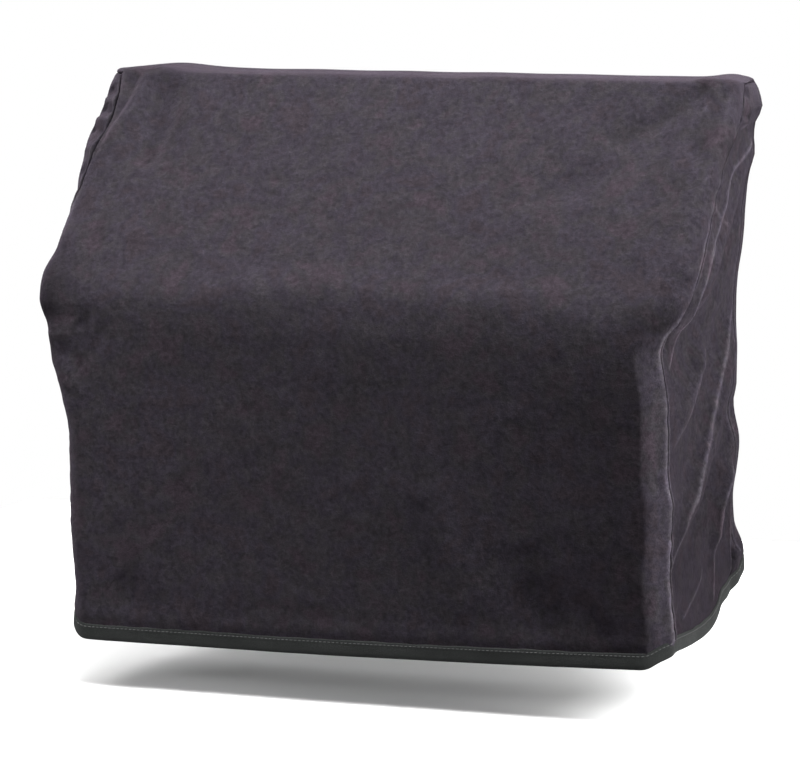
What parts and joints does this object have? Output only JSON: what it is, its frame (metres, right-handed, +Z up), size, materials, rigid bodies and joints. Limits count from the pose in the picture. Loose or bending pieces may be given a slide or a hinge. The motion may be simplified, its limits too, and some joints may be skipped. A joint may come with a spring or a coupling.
{
  "type": "fitted accordion dust cover",
  "caption": "Hollow velour dust cover with a sloping front, rounded shoulder, narrow top and a bound hem, that drops over an upright instrument.",
  "frame": {"origin": "middle of the underside of the top, where the cover lies on what it hangs over", "axes": "+X to the right seen from the front, +Y to the back, +Z up"},
  "size_m": [0.5274, 0.2144, 0.434],
  "materials": {
    "velour": "matt black velour with a short soft nap",
    "twill_tape": "charcoal twill binding tape"
  },
  "bodies": {
    "root": {"main_panel": "velour", "side_gusset_left": "velour", "side_gusset_right": "velour", "hem_binding": "twill_tape"}
  },
  "joints": []
}
